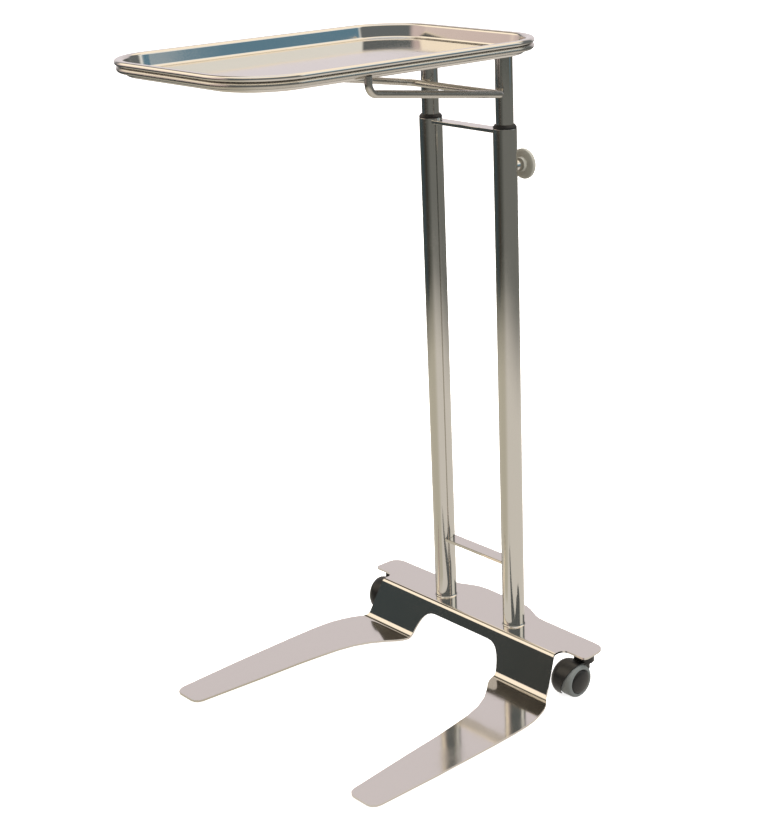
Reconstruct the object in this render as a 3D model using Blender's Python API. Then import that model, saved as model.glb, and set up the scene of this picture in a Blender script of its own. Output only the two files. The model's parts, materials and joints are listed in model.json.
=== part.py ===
"""Double-post instrument stand: a lift-off tray on a rod frame, two telescoping posts with a
hand clamp, and a base bent from one sheet with two flat legs and two hooded casters.

Metres, +Z up. X runs across the two posts, the tray and the legs reach towards -Y,
and the floor is Z = 0. Pieces are drawn with Y = 0 on the line of the posts, and the
last step moves all of them so that the stand's box is centred over the origin.
"""

import math

import bmesh
import bpy
from mathutils import Matrix, Vector

for old in list(bpy.data.objects):
    bpy.data.objects.remove(old, do_unlink=True)

MM = 0.001
GAP = 0.3          # between pieces that touch, mm

# ---- driving dimensions, mm ------------------------------------------------
POST_SPACING = 142.0
OUTER_TUBE_DIA = 31.75
OUTER_TUBE_WALL = 1.5
OUTER_TUBE_TOP = 777.0
INNER_TUBE_DIA = 23.5
INNER_TUBE_WALL = 1.5
INNER_TUBE_BOTTOM = 132.0

TRAY_LENGTH = 484.0
TRAY_WIDTH = 315.0
TRAY_CORNER = 79.0
RIM_TOP = 900.0
TRAY_DEPTH = 19.0
TRAY_SHEET = 1.0
TRAY_REAR_Y = 15.0

FRAME_ROD_DIA = 7.9
FRAME_INSET = 2.4      # rod line inside the rim line
BRACE_ROD_DIA = 9.5
BRACE_Z = 824.0
BRACE_RISE = 40.5
BRACE_REACH = 281.0

PLATE_TOP = 60.0
SHEET = 3.0
PLATE_FRONT_Y = -30.0
PLATE_REAR_Y = 52.5
WEB_FOOT_Y = -57.0
WEB_FOOT_BEND = 13.0   # bend radius where the web turns into the legs
PLATE_HALF = 177.0
EAR_HALF = 220.0
LEG_OUT_HALF = 217.5
LEG_TIP_Y = -396.0

UPPER_BAR_TOP = 774.9
LOWER_BAR_TOP = 156.7
BAR_DEPTH = 20.7
BAR_THICK = 4.7

CLAMP_Z = 725.0
KNOB_DIA = 41.0

CASTER_X = 199.0
CASTER_Y = 9.5
CASTER_TRAIL = 24.0
WHEEL_DIA = 47.0
BOSS_DIA = 29.0        # the hood's shoulder under the plate
LEFT_SWIVEL = 20.0     # how far the left caster stands turned, degrees

HALF = POST_SPACING / 2
R_OUT = OUTER_TUBE_DIA / 2
R_BORE = R_OUT - OUTER_TUBE_WALL
R_IN = INNER_TUBE_DIA / 2
R_IN_BORE = R_IN - INNER_TUBE_WALL
PLATE_UNDER = PLATE_TOP - SHEET
RIM_R = 3.4
RIM_Z = RIM_TOP - RIM_R
TRAY_UNDER = RIM_TOP - TRAY_DEPTH - TRAY_SHEET
FRAME_Z = RIM_TOP - 2 * RIM_R - GAP - FRAME_ROD_DIA / 2
INNER_TUBE_TOP = TRAY_UNDER - 6.0
LEFT, RIGHT = -1.0, 1.0

# ---- collections and materials ---------------------------------------------
parts = bpy.data.collections.new("double_post_instrument_stand")
helpers = bpy.data.collections.new("cutters")
bpy.context.scene.collection.children.link(parts)
bpy.context.scene.collection.children.link(helpers)
helpers.hide_render = True

FINISHES = {
    "mirror_stainless": ((0.72, 0.71, 0.69), 1.0, 0.12),
    "bright_zinc_steel": ((0.62, 0.63, 0.64), 1.0, 0.30),
    "black_nylon": ((0.016, 0.016, 0.017), 0.0, 0.42),
    "natural_nylon": ((0.74, 0.72, 0.66), 0.0, 0.45),
    "light_grey_knob_plastic": ((0.42, 0.42, 0.39), 0.0, 0.38),
    "grey_tread_rubber": ((0.23, 0.24, 0.24), 0.0, 0.62),
}


def finish(obj, name):
    colour, metallic, roughness = FINISHES[name]
    mat = bpy.data.materials.new(obj.name + "." + name)
    mat.use_nodes = True
    shader = mat.node_tree.nodes["Principled BSDF"]
    shader.inputs["Base Color"].default_value = (*colour, 1.0)
    shader.inputs["Metallic"].default_value = metallic
    shader.inputs["Roughness"].default_value = roughness
    mat.diffuse_color = (*colour, 1.0)
    obj.data.materials.append(mat)


# ---- building blocks, all in millimetres until the object is made ------------
def make(name, bm, look=None, origin=(0, 0, 0), turn=0.0):
    """Turn a bmesh in mm into an object whose origin is at the given point."""
    bmesh.ops.recalc_face_normals(bm, faces=bm.faces)
    mesh = bpy.data.meshes.new(name)
    bm.to_mesh(mesh)
    bm.free()
    mesh.transform(Matrix.Scale(MM, 4) @ Matrix.Translation(-Vector(origin)))
    obj = bpy.data.objects.new(name, mesh)
    obj.location = Vector(origin) * MM
    obj.rotation_euler.z = math.radians(turn)
    if look:
        parts.objects.link(obj)
        finish(obj, look)
    else:
        helpers.objects.link(obj)
        obj.hide_render = True
        obj.display_type = "WIRE"
    return obj


def boolean(target, other, operation):
    mod = target.modifiers.new(operation.lower() + "_" + other.name, "BOOLEAN")
    mod.operation = operation
    mod.solver = "EXACT"
    mod.object = other


def prism(outline, low, high, axis):
    """A polygon pulled along an axis. outline holds (y, z), (x, z) or (x, y)."""
    place = {
        "X": lambda a, b, c: (c, a, b),
        "Y": lambda a, b, c: (a, c, b),
        "Z": lambda a, b, c: (a, b, c),
    }[axis]
    bm = bmesh.new()
    rings = [[bm.verts.new(place(a, b, c)) for a, b in outline] for c in (low, high)]
    bm.faces.new(rings[0])
    bm.faces.new(rings[1])
    for i in range(len(outline)):
        j = (i + 1) % len(outline)
        bm.faces.new((rings[0][i], rings[0][j], rings[1][j], rings[1][i]))
    return bm


def box(x0, x1, y0, y1, z0, z1):
    return prism([(x0, y0), (x1, y0), (x1, y1), (x0, y1)], z0, z1, "Z")


def lathe(profile, centre, axis="Z", steps=40):
    """Turn a closed (radius, height) loop about an axis through the centre."""
    bm = bmesh.new()
    frame = {
        "Z": (Vector((1, 0, 0)), Vector((0, 1, 0)), Vector((0, 0, 1))),
        "X": (Vector((0, 1, 0)), Vector((0, 0, 1)), Vector((1, 0, 0))),
        "Y": (Vector((0, 0, 1)), Vector((1, 0, 0)), Vector((0, 1, 0))),
    }[axis]
    u, v, w = frame
    c = Vector(centre)
    rows = []
    for r, h in profile:
        if r < 1e-6:
            rows.append([bm.verts.new(c + w * h)])
            continue
        rows.append([
            bm.verts.new(c + w * h + r * (u * math.cos(t) + v * math.sin(t)))
            for t in (2 * math.pi * k / steps for k in range(steps))
        ])
    count = len(rows)
    for i in range(count):
        a, b = rows[i], rows[(i + 1) % count]
        if len(a) == 1 and len(b) == 1:
            continue
        for k in range(steps):
            n = (k + 1) % steps
            if len(a) == 1:
                bm.faces.new((a[0], b[k], b[n]))
            elif len(b) == 1:
                bm.faces.new((a[k], b[0], a[n]))
            else:
                bm.faces.new((a[k], b[k], b[n], a[n]))
    return bm


def cylinder(radius, low, high, centre, axis="Z", steps=40):
    return lathe([(0, low), (radius, low), (radius, high), (0, high)], centre, axis, steps)


def tube(r_in, r_out, low, high, centre, axis="Z", steps=40):
    return lathe([(r_in, low), (r_out, low), (r_out, high), (r_in, high)], centre, axis, steps)


def fillet(points, radii, steps=6):
    """Round the inner corners of an open 3-D polyline."""
    pts = [Vector(p) for p in points]
    out = [pts[0]]
    for before, here, after, r in zip(pts, pts[1:], pts[2:], radii):
        d0, d1 = (before - here).normalized(), (after - here).normalized()
        half = d0.angle(d1) / 2
        if r <= 0 or half > math.pi / 2 - 1e-3:
            out.append(here)
            continue
        reach = r / math.tan(half)
        centre = here + (d0 + d1).normalized() * (r / math.sin(half))
        start, end = here + d0 * reach, here + d1 * reach
        a, b = start - centre, end - centre
        sweep = a.angle(b)
        for k in range(steps + 1):
            t = k / steps
            out.append(centre + (a * math.sin((1 - t) * sweep) + b * math.sin(t * sweep)) / math.sin(sweep))
    out.append(pts[-1])
    return out


def thicken(line, thickness):
    """A closed outline around an open flat polyline, half the thickness each side."""
    sides = ([], [])
    for i, p in enumerate(line):
        before = (p - line[i - 1]).normalized() if i else None
        after = (line[i + 1] - p).normalized() if i + 1 < len(line) else None
        d = ((before or after) + (after or before)).normalized()
        n = Vector((-d.y, d.x))
        stretch = 1 / max(0.2, n.dot(Vector((-(after or before).y, (after or before).x))))
        sides[0].append(p + n * stretch * thickness / 2)
        sides[1].append(p - n * stretch * thickness / 2)
    return [tuple(q) for q in sides[0]] + [tuple(q) for q in reversed(sides[1])]


def sweep_rod(path, radius, closed=False, steps=16):
    """A round rod along a path of 3-D points, its frame carried from point to point."""
    bm = bmesh.new()
    n = len(path)
    rings = []
    side = None
    for i, p in enumerate(path):
        before = path[i] - path[i - 1] if (i or closed) else path[1] - path[0]
        after = path[(i + 1) % n] - path[i] if (i + 1 < n or closed) else before
        d = (before.normalized() + after.normalized()).normalized()
        if side is None:
            side = d.orthogonal().normalized() if not closed else Vector((0, 0, 1))
        side = (side - d * side.dot(d)).normalized()
        up = d.cross(side)
        miter = 1 / max(0.5, d.dot(after.normalized()))
        bend = (after.normalized() - before.normalized())
        ring = []
        for k in range(steps):
            t = 2 * math.pi * (k + 0.5) / steps
            off = side * math.cos(t) * radius + up * math.sin(t) * radius
            if bend.length > 1e-6:
                b = bend.normalized()
                off += b * off.dot(b) * (miter - 1)
            ring.append(bm.verts.new(p + off))
        rings.append(ring)
    for i in range(n if closed else n - 1):
        a, b = rings[i], rings[(i + 1) % n]
        for k in range(steps):
            m = (k + 1) % steps
            bm.faces.new((a[k], a[m], b[m], b[k]))
    if not closed:
        bm.faces.new(rings[0])
        bm.faces.new(rings[-1])
    return bm


def rounded_rectangle(x0, x1, y0, y1, radius, steps=8):
    """Points and outward directions around a rectangle with round corners."""
    out = []
    for cx, cy, start in (
        (x1 - radius, y0 + radius, -90), (x1 - radius, y1 - radius, 0),
        (x0 + radius, y1 - radius, 90), (x0 + radius, y0 + radius, 180),
    ):
        for k in range(steps + 1):
            t = math.radians(start + 90 * k / steps)
            out.append((cx + radius * math.cos(t), cy + radius * math.sin(t), math.cos(t), math.sin(t)))
    return out


def empty(name, at, turn=0.0):
    obj = bpy.data.objects.new(name, None)
    obj.empty_display_size = 0.03
    obj.location = Vector(at) * MM
    obj.rotation_euler.z = math.radians(turn)
    parts.objects.link(obj)
    return obj


def hang(child, parent):
    bpy.context.view_layer.update()
    child.parent = parent
    child.matrix_parent_inverse = parent.matrix_world.inverted()


# ---- base: one sheet, bent twice ---------------------------------------------
def mirrored(half):
    """An outline given for X >= 0, closed by its own mirror image."""
    return half + [(-x, y) for x, y in reversed(half)]


mid = SHEET / 2
bend_line = fillet(
    [(60, PLATE_TOP - mid, 0), (PLATE_FRONT_Y, PLATE_TOP - mid, 0),
     (WEB_FOOT_Y, mid, 0), (LEG_TIP_Y - 20, mid, 0)],
    [6, WEB_FOOT_BEND], 8)
base = make("base_plate", prism(thicken([p.xy for p in bend_line], SHEET), -EAR_HALF - 15, EAR_HALF + 15, "X"),
            "mirror_stainless")

leg_x = LEG_OUT_HALF
plan = mirrored([
    (0, PLATE_REAR_Y), (34, PLATE_REAR_Y), (48, PLATE_REAR_Y - 1.3), (58, PLATE_REAR_Y - 4.3), (68, PLATE_REAR_Y - 8.9),
    (78, PLATE_REAR_Y - 13.9), (88, PLATE_REAR_Y - 17.1), (100, PLATE_REAR_Y - 18.3),
    (EAR_HALF - 20, 33.0), (EAR_HALF - 12, 31.8), (EAR_HALF - 6, 28.8), (EAR_HALF - 2, 23.5), (EAR_HALF - 0.5, 16),
    (EAR_HALF, -5), (EAR_HALF - 1.5, -9.5), (EAR_HALF - 5, -11.5),
    (PLATE_HALF + 13, -11.5), (PLATE_HALF + 8, -12.6), (PLATE_HALF + 4.2, -15.6), (PLATE_HALF + 2, -20),
    (PLATE_HALF + 2, PLATE_FRONT_Y), (PLATE_HALF + 10, WEB_FOOT_Y + 2),
    (leg_x - 26, WEB_FOOT_Y - 3), (leg_x - 20, WEB_FOOT_Y - 10), (leg_x - 14, WEB_FOOT_Y - 20),
    (leg_x - 8.5, WEB_FOOT_Y - 34), (leg_x - 4, WEB_FOOT_Y - 50), (leg_x - 1.3, WEB_FOOT_Y - 68),
    (leg_x, WEB_FOOT_Y - 90), (leg_x + 0.5, WEB_FOOT_Y - 130), (leg_x - 0.5, -290), (leg_x - 3.5, LEG_TIP_Y + 14),
    (leg_x - 5.2, LEG_TIP_Y + 7), (leg_x - 9.5, LEG_TIP_Y + 2), (leg_x - 15, LEG_TIP_Y),
    (leg_x - 42, LEG_TIP_Y), (leg_x - 48, LEG_TIP_Y + 1.5), (leg_x - 52.5, LEG_TIP_Y + 5), (leg_x - 55, LEG_TIP_Y + 11),
    (153, -290), (147.5, -225), (143, -190), (138.5, -160), (131.5, -134), (120.5, -111),
    (106, -91), (97, -81), (91.2, -72), (88.5, -64), (88.5, WEB_FOOT_Y - 1),
])
# The middle of the outline crosses the front web; the arch is cut through it from the front.
boolean(base, make("cut_plan", prism(plan, -20, PLATE_TOP + 20, "Z")), "INTERSECT")
arch = mirrored([
    (0, 43.5), (56, 43.5), (63, 42.6), (70, 39.8), (75.5, 35.2), (79.8, 29.4), (83.2, 22.5), (86.3, 14), (88.5, 5), (88.5, -10),
])
boolean(base, make("cut_arch", prism(arch, WEB_FOOT_Y - 6, PLATE_FRONT_Y + 12, "Y")), "DIFFERENCE")
for side, word in ((LEFT, "left"), (RIGHT, "right")):
    boolean(base, make("cut_bolt_hole_" + word, cylinder(5.5, PLATE_UNDER - 5, PLATE_TOP + 5, (side * HALF, 0, 0), steps=28)),
            "DIFFERENCE")

# ---- fixed posts ---------------------------------------------------------------
POST_FOOT = PLATE_TOP + GAP
clamp_hole = make("cut_clamp_hole", cylinder(4.5, 0, 30, (HALF, 0, CLAMP_Z), "Y", 24))
for side, word in ((LEFT, "left"), (RIGHT, "right")):
    at = (side * HALF, 0, 0)
    post = make("outer_tube_" + word, tube(R_BORE, R_OUT, POST_FOOT, OUTER_TUBE_TOP, at, steps=44), "mirror_stainless")
    if side == RIGHT:
        boolean(post, clamp_hole, "DIFFERENCE")
    make("foot_plug_" + word, lathe([
        (5.0, POST_FOOT), (R_BORE - GAP, POST_FOOT), (R_BORE - GAP, POST_FOOT + 23.5),
        (R_BORE - GAP - 1.2, POST_FOOT + 24.7), (5.0, POST_FOOT + 24.7)], at), "bright_zinc_steel")
    make("foot_washer_" + word, tube(5.5, 10.5, PLATE_UNDER - GAP - 2.0, PLATE_UNDER - GAP, at, steps=28), "bright_zinc_steel")
    head_top = PLATE_UNDER - 2 * GAP - 2.0
    hexagon = [(side * HALF + 9.24 * math.cos(math.radians(60 * k)), 9.24 * math.sin(math.radians(60 * k))) for k in range(6)]
    bolt = make("foot_bolt_" + word, prism(hexagon, head_top - 6.4, head_top, "Z"), "bright_zinc_steel")
    boolean(bolt, make("join_bolt_shank_" + word, lathe([
        (0, head_top - 3), (4.7, head_top - 3), (4.7, POST_FOOT + 19), (3.9, POST_FOOT + 20), (0, POST_FOOT + 20)], at, steps=28)), "UNION")
    make("guide_collar_" + word, lathe([
        (R_IN + GAP, OUTER_TUBE_TOP - 32), (R_BORE - GAP, OUTER_TUBE_TOP - 32), (R_BORE - GAP, OUTER_TUBE_TOP + GAP),
        (R_OUT - 0.1, OUTER_TUBE_TOP + GAP), (R_OUT - 0.1, OUTER_TUBE_TOP + 1.6), (R_OUT - 0.8, OUTER_TUBE_TOP + 3.0),
        (R_IN + 1.5, OUTER_TUBE_TOP + 4.9), (R_IN + 0.8, OUTER_TUBE_TOP + 5.1), (R_IN + GAP, OUTER_TUBE_TOP + 5.1)], at), "black_nylon")

# ---- cross bars between the fixed posts ------------------------------------------
for word, top in (("upper", UPPER_BAR_TOP), ("lower", LOWER_BAR_TOP)):
    bar = make(word + "_crossbar", box(-HALF, HALF, -BAR_DEPTH / 2, BAR_DEPTH / 2, top - BAR_THICK, top), "mirror_stainless")
    for side, end in ((LEFT, "left"), (RIGHT, "right")):
        boolean(bar, make("cope_%s_%s" % (word, end),
                          cylinder(R_OUT + GAP, top - BAR_THICK - 5, top + 5, (side * HALF, 0, 0), steps=44)), "DIFFERENCE")

# ---- the part that rises: inner tubes, brace, tray frame --------------------------
mast = empty("mast_travel", (0, 0, INNER_TUBE_TOP))
rear_rod_y = TRAY_REAR_Y - RIM_R
frame_x = TRAY_WIDTH / 2 - RIM_R - FRAME_INSET
frame_front = TRAY_REAR_Y - TRAY_LENGTH + RIM_R + FRAME_INSET
for side, word in ((LEFT, "left"), (RIGHT, "right")):
    at = (side * HALF, 0, 0)
    origin = (side * HALF, 0, INNER_TUBE_TOP)
    hang(make("inner_tube_" + word, tube(R_IN_BORE, R_IN, INNER_TUBE_BOTTOM, INNER_TUBE_TOP, at, steps=40),
              "mirror_stainless", origin), mast)
    hang(make("lower_guide_" + word, lathe([
        (0, INNER_TUBE_BOTTOM - 18), (R_BORE - GAP - 1.2, INNER_TUBE_BOTTOM - 18), (R_BORE - GAP, INNER_TUBE_BOTTOM - 16.8),
        (R_BORE - GAP, INNER_TUBE_BOTTOM - GAP), (R_IN_BORE - GAP, INNER_TUBE_BOTTOM - GAP),
        (R_IN_BORE - GAP, INNER_TUBE_BOTTOM + 20), (0, INNER_TUBE_BOTTOM + 20)], at), "natural_nylon", origin), mast)
    saddle = make("saddle_plug_" + word, lathe([
        (0, INNER_TUBE_TOP - 22), (R_IN_BORE - GAP, INNER_TUBE_TOP - 22), (R_IN_BORE - GAP, INNER_TUBE_TOP + GAP),
        (R_IN, INNER_TUBE_TOP + GAP), (R_IN, TRAY_UNDER - 1.2), (R_IN - 0.6, TRAY_UNDER - 0.6), (0, TRAY_UNDER - 0.6)], at),
        "mirror_stainless", origin)
    boolean(saddle, make("join_saddle_lug_" + word, box(side * HALF - 7, side * HALF + 7, rear_rod_y - 3.6, rear_rod_y + 2.4,
                                                        TRAY_UNDER - 4, FRAME_Z - 1.5)), "UNION")
    boolean(saddle, make("cut_saddle_" + word, cylinder(FRAME_ROD_DIA / 2 + GAP, side * HALF - 20, side * HALF + 20,
                                                        (0, rear_rod_y, FRAME_Z), "X", 24)), "DIFFERENCE")
    hang(saddle, mast)

loop = rounded_rectangle(-frame_x, frame_x, frame_front, rear_rod_y, TRAY_CORNER - RIM_R - FRAME_INSET, 7)
frame_path = [Vector((x, y, FRAME_Z)) for x, y, _, _ in loop]
hang(make("tray_frame", sweep_rod(frame_path, FRAME_ROD_DIA / 2, closed=True), "mirror_stainless",
          (0, 0, INNER_TUBE_TOP)), mast)

rb = BRACE_ROD_DIA / 2
brace_y = -(R_IN + GAP + rb)
arm_end_y = brace_y - BRACE_REACH
brace_x = TRAY_WIDTH / 2 - RIM_R - 2.8
right_half = [
    (HALF + 15.5, brace_y, BRACE_Z), (brace_x, arm_end_y, BRACE_Z + BRACE_RISE),
    (brace_x, arm_end_y, FRAME_Z - FRAME_ROD_DIA / 2 - GAP),
]
left_half = [(-x, y, z) for x, y, z in right_half]
corner_points = list(reversed(left_half)) + right_half
brace_path = fillet(corner_points, [15, 15, 15, 15], 7)
hang(make("brace_rod", sweep_rod(brace_path, rb), "mirror_stainless", (0, 0, INNER_TUBE_TOP)), mast)

# ---- lift-off tray: one sheet with a curled rim -------------------------------------
rim_arc = [(2.9 * math.cos(math.radians(a)), RIM_Z + 2.9 * math.sin(math.radians(a)), 0)
           for a in range(184, -112, -18)]
wall_in = 10.0
section = fillet([(-wall_in - 16, TRAY_UNDER + TRAY_SHEET / 2, 0), (-wall_in, TRAY_UNDER + TRAY_SHEET / 2, 0),
                  (-6.9, RIM_Z - 4.8, 0), rim_arc[0]], [5, 3], 5)[:-1] + [Vector(p) for p in rim_arc]
skin = thicken([p.xy for p in section], TRAY_SHEET)
count = len(skin) // 2
top_side, under_side = skin[:count], skin[count:]
bm = bmesh.new()
edge = rounded_rectangle(-TRAY_WIDTH / 2 + RIM_R, TRAY_WIDTH / 2 - RIM_R,
                         TRAY_REAR_Y - TRAY_LENGTH + RIM_R, TRAY_REAR_Y - RIM_R, TRAY_CORNER - RIM_R, 8)
rows = [[bm.verts.new((x + nx * s, y + ny * s, z)) for s, z in skin] for x, y, nx, ny in edge]
turns = len(rows)
for i in range(turns):
    a, b = rows[i], rows[(i + 1) % turns]
    for k in range(len(skin) - 1):
        bm.faces.new((a[k], a[k + 1], b[k + 1], b[k]))
bm.faces.new([row[0] for row in rows])
bm.faces.new([row[-1] for row in rows])
tray = make("tray", bm, "mirror_stainless", (0, TRAY_REAR_Y - TRAY_LENGTH / 2, TRAY_UNDER))

# ---- hand clamp on the right post -----------------------------------------------------
boss = make("clamp_boss", tube(4.4, 8.0, 8.0, 25.0, (HALF, 0, CLAMP_Z), "Y", 32), "mirror_stainless")
boolean(boss, make("cope_boss", cylinder(R_OUT + GAP, CLAMP_Z - 20, CLAMP_Z + 20, (HALF, 0, 0), steps=44)), "DIFFERENCE")
pad_face = R_IN + GAP
make("clamp_pad", lathe([
    (0, pad_face), (3.0, pad_face), (3.9, pad_face + 0.7), (3.9, pad_face + 3.2), (0, pad_face + 3.2)],
    (HALF, 0, CLAMP_Z), "Y", 24), "natural_nylon", (HALF, pad_face, CLAMP_Z))
stud_start = pad_face + 3.2 + GAP
knob_origin = (HALF, 36.0, CLAMP_Z)
make("clamp_stud", lathe([
    (0, stud_start), (3.4, stud_start), (4.0, stud_start + 0.6), (4.0, 37.5), (3.4, 38.1), (0, 38.1)],
    (HALF, 0, CLAMP_Z), "Y", 24), "bright_zinc_steel", knob_origin)
kr = KNOB_DIA / 2
knob = make("clamp_knob", lathe([
    (4.0 + GAP, 26.0), (8.6, 26.0), (9.4, 26.8), (9.8, 29.8), (kr - 3.0, 30.8), (kr - 0.9, 31.8), (kr, 33.4), (kr, 35.4),
    (kr - 0.9, 37.0), (kr - 3.4, 38.2), (kr - 8.0, 39.6), (kr - 13.5, 41.0), (0, 41.6), (0, 38.4), (4.0 + GAP, 38.4)],
    (HALF, 0, CLAMP_Z), "Y", 48), "light_grey_knob_plastic", knob_origin)

# ---- two hooded casters under the ears ---------------------------------------------------
rw = WHEEL_DIA / 2
HOOD_IN = rw + 0.8
HOOD_OUT = rw + 2.3


def caster(word, x, turn):
    """One caster, modelled with its wheel's face towards +X and turned about its stem."""
    stem_at = (x, CASTER_Y, 0)
    axle_y = CASTER_Y - CASTER_TRAIL
    axle_at = (x, axle_y, rw)
    swivel = empty("swivel_" + word, stem_at)
    spin = empty("axle_line_" + word, axle_at)
    hang(spin, swivel)

    flange_top = PLATE_UNDER - GAP
    stem = make("caster_stem_" + word, lathe([
        (0, 40.4), (4.2, 40.4), (5.0, 41.2), (5.0, flange_top - 3.0), (15.0, flange_top - 3.0),
        (16.0, flange_top - 2.0), (16.0, flange_top), (0, flange_top)], stem_at, steps=32), "bright_zinc_steel", stem_at)

    outside = [(0, 16.0), (HOOD_OUT, 16.0), (HOOD_OUT, -12.0), (HOOD_OUT - 1.0, -16.0), (HOOD_OUT - 3.6, -20.0),
               (HOOD_OUT - 7.6, -23.0), (HOOD_OUT - 13.0, -25.0), (0, -26.0)]
    inside = [(0, -20.4), (HOOD_IN - 10, -19.6), (HOOD_IN - 5, -17.4), (HOOD_IN - 1.6, -14.2), (HOOD_IN, -10),
              (HOOD_IN, 40.0), (0, 40.0)]
    hood = make("caster_hood_" + word, lathe(outside, axle_at, "X", 44), "black_nylon", stem_at)
    # The lip runs on a slant, from the top of the wheel's face to low on the other side.
    slant = [(x + 14.0, rw + HOOD_OUT + 4), (x + 60, rw + HOOD_OUT + 4), (x + 60, -20), (x - 14.5, -20)]
    boolean(hood, make("cut_lip_" + word, prism(slant, axle_y - 60, axle_y + 60, "Y")), "DIFFERENCE")
    boss_top = flange_top - 3.0 - GAP
    boss = [(0, 31), (8.2, 31), (8.2, 40), (BOSS_DIA / 2, 43), (BOSS_DIA / 2, boss_top), (0, boss_top)]
    boolean(hood, make("join_boss_" + word, lathe(boss, stem_at, steps=32)), "UNION")
    boolean(hood, make("cut_wheel_room_" + word, lathe(inside, axle_at, "X", 44)), "DIFFERENCE")
    boolean(hood, make("cut_stem_socket_" + word, cylinder(5.0 + GAP, 40.0, 70, stem_at, steps=32)), "DIFFERENCE")
    boolean(hood, make("cut_floor_" + word, box(x - 60, x + 60, axle_y - 60, axle_y + 60, -20, 4.5)), "DIFFERENCE")
    boolean(hood, make("join_axle_boss_" + word, tube(4.2, 8.0, -21.0, -7.2, axle_at, "X", 28)), "UNION")

    axle = make("wheel_axle_" + word, cylinder(3.9, -19.5, 12.5, axle_at, "X", 24), "bright_zinc_steel", stem_at)
    tread = make("wheel_tread_" + word, lathe([
        (17.6, -6.0), (rw - 3.0, -6.0), (rw - 0.8, -4.8), (rw, -2.6), (rw, 11.0), (rw - 0.9, 13.6), (rw - 3.2, 15.2),
        (17.6, 15.8)], axle_at, "X", 44), "grey_tread_rubber", axle_at)
    hub = make("wheel_hub_" + word, lathe([
        (4.2, -6.6), (7.6, -6.6), (7.6, -3.6), (17.3, -3.6), (17.3, 13.0), (4.2, 13.0)],
        axle_at, "X", 40), "black_nylon", axle_at)
    cap = make("hub_cap_" + word, lathe([
        (0, 13.3), (16.6, 13.3), (17.2, 14.0), (16.6, 16.6), (14.4, 18.4), (8.0, 19.5), (0, 19.8)],
        axle_at, "X", 40), "black_nylon", axle_at)
    for piece in (hood, axle):
        hang(piece, swivel)
    for piece in (tread, hub, cap):
        hang(piece, spin)
    bpy.context.view_layer.update()
    if turn:
        for cutter in [o for o in helpers.objects if o.name.endswith("_" + word) and o.name.split("_" + word)[0] in (
                "cut_lip", "cut_floor", "join_boss", "cut_wheel_room", "cut_stem_socket", "join_axle_boss")]:
            hang(cutter, swivel)
        swivel.rotation_euler.z = math.radians(turn)
    bpy.context.view_layer.update()


caster("right", CASTER_X, 0.0)
caster("left", -CASTER_X, LEFT_SWIVEL)

# ---- stand the whole stand centred over its own footprint ---------------------------------
CENTRE_Y = (TRAY_REAR_Y - TRAY_LENGTH + PLATE_REAR_Y) / 2
for obj in list(parts.objects) + list(helpers.objects):
    if obj.parent is None:
        obj.location.y -= CENTRE_Y * MM
bpy.context.view_layer.update()
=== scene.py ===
# %% [markdown]
# A double-post instrument stand, as a nurse would wheel it to an operating table: a
# lift-off tray on a rod frame, two telescoping posts with a hand clamp, and a base bent
# from one sheet, with two flat legs and two hooded casters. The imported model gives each
# piece's size and place. Each cell below either makes one finish, or models one piece
# again, smoother and with the small roundings that polished steel shows.

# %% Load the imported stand
import json
import math
import bpy
from mathutils import Matrix, Vector


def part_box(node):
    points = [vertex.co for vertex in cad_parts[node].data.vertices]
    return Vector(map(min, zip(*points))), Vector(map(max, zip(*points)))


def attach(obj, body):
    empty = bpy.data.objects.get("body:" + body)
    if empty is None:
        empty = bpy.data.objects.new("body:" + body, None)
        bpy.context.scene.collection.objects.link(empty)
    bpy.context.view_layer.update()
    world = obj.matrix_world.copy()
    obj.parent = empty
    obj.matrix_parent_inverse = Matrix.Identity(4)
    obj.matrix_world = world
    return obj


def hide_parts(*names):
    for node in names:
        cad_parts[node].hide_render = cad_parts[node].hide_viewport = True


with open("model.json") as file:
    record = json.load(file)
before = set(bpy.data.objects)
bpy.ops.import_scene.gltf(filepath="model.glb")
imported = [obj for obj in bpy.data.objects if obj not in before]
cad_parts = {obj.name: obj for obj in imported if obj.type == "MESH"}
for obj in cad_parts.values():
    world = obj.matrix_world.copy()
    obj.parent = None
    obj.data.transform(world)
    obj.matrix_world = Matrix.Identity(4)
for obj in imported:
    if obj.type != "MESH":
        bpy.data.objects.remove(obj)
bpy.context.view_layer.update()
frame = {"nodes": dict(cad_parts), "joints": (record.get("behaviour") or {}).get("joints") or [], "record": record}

MM = 0.001


# %% [markdown]
# Colours are written as they would be picked on a screen, in sRGB. Blender's shaders work
# with linear light, so one function turns the hex value round. A second small function
# adds a node with its settings and its links, which keeps each material short to read.

# %% Colour and node helpers
def linear(hex_value, strength=1.0):
    """sRGB hex text as a linear RGBA colour, darker or brighter by its strength."""
    parts = [int(hex_value[i:i + 2], 16) / 255 for i in (1, 3, 5)]
    light = [c / 12.92 if c <= 0.04045 else ((c + 0.055) / 1.055) ** 2.4 for c in parts]
    return [c * strength for c in light] + [1.0]


def add(material, kind, links=(), **settings):
    """One node: settings by name, and links as (its input, other node, other output)."""
    tree = material.node_tree
    node = tree.nodes.new(kind)
    for key, value in settings.items():
        if hasattr(node, key):
            setattr(node, key, value)
        else:
            node.inputs[key.replace("_", " ")].default_value = value
    for socket, other, output in links:
        tree.links.new(other.outputs[output], node.inputs[socket])
    return node


def new_material(name, colour, metallic, roughness):
    """A material and its shader, with the three values that every finish starts from."""
    material = bpy.data.materials.new(name)
    material.use_nodes = True
    shader = material.node_tree.nodes["Principled BSDF"]
    shader.inputs["Base Color"].default_value = linear(colour)
    shader.inputs["Metallic"].default_value = metallic
    shader.inputs["Roughness"].default_value = roughness
    return material, shader


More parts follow.
